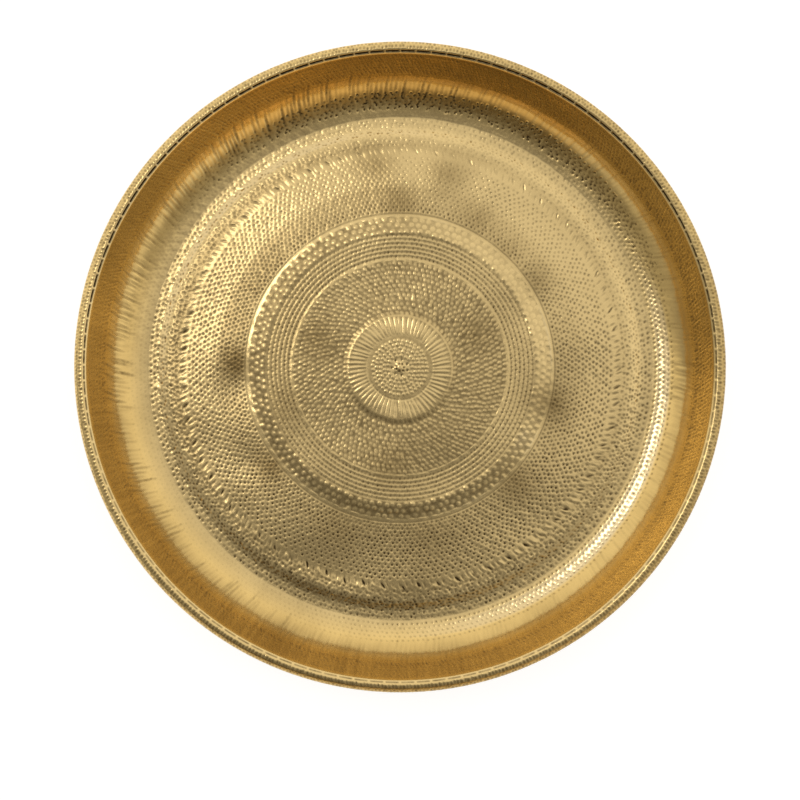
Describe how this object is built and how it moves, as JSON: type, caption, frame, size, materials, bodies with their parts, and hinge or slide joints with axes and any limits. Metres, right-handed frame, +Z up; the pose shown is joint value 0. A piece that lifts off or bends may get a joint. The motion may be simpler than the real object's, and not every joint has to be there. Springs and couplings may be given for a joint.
{
  "type": "brass serving tray",
  "caption": "Round hammered brass tray with a raised floor, steep flared wall and an edge rolled over a wire.",
  "frame": {"origin": "centre of the foot ring, on the surface that the tray stands on", "axes": "+Z up along the tray's axis, out of its open side; +X and +Y lie in the table plane"},
  "size_m": [0.3, 0.3, 0.028],
  "materials": {
    "brass_sheet": "hand-hammered and polished, with warm tarnish in the hollows",
    "wire": "plain drawn wire, dull"
  },
  "bodies": {
    "root": {"tray_pan": "brass_sheet", "rim_wire": "wire"}
  },
  "joints": []
}
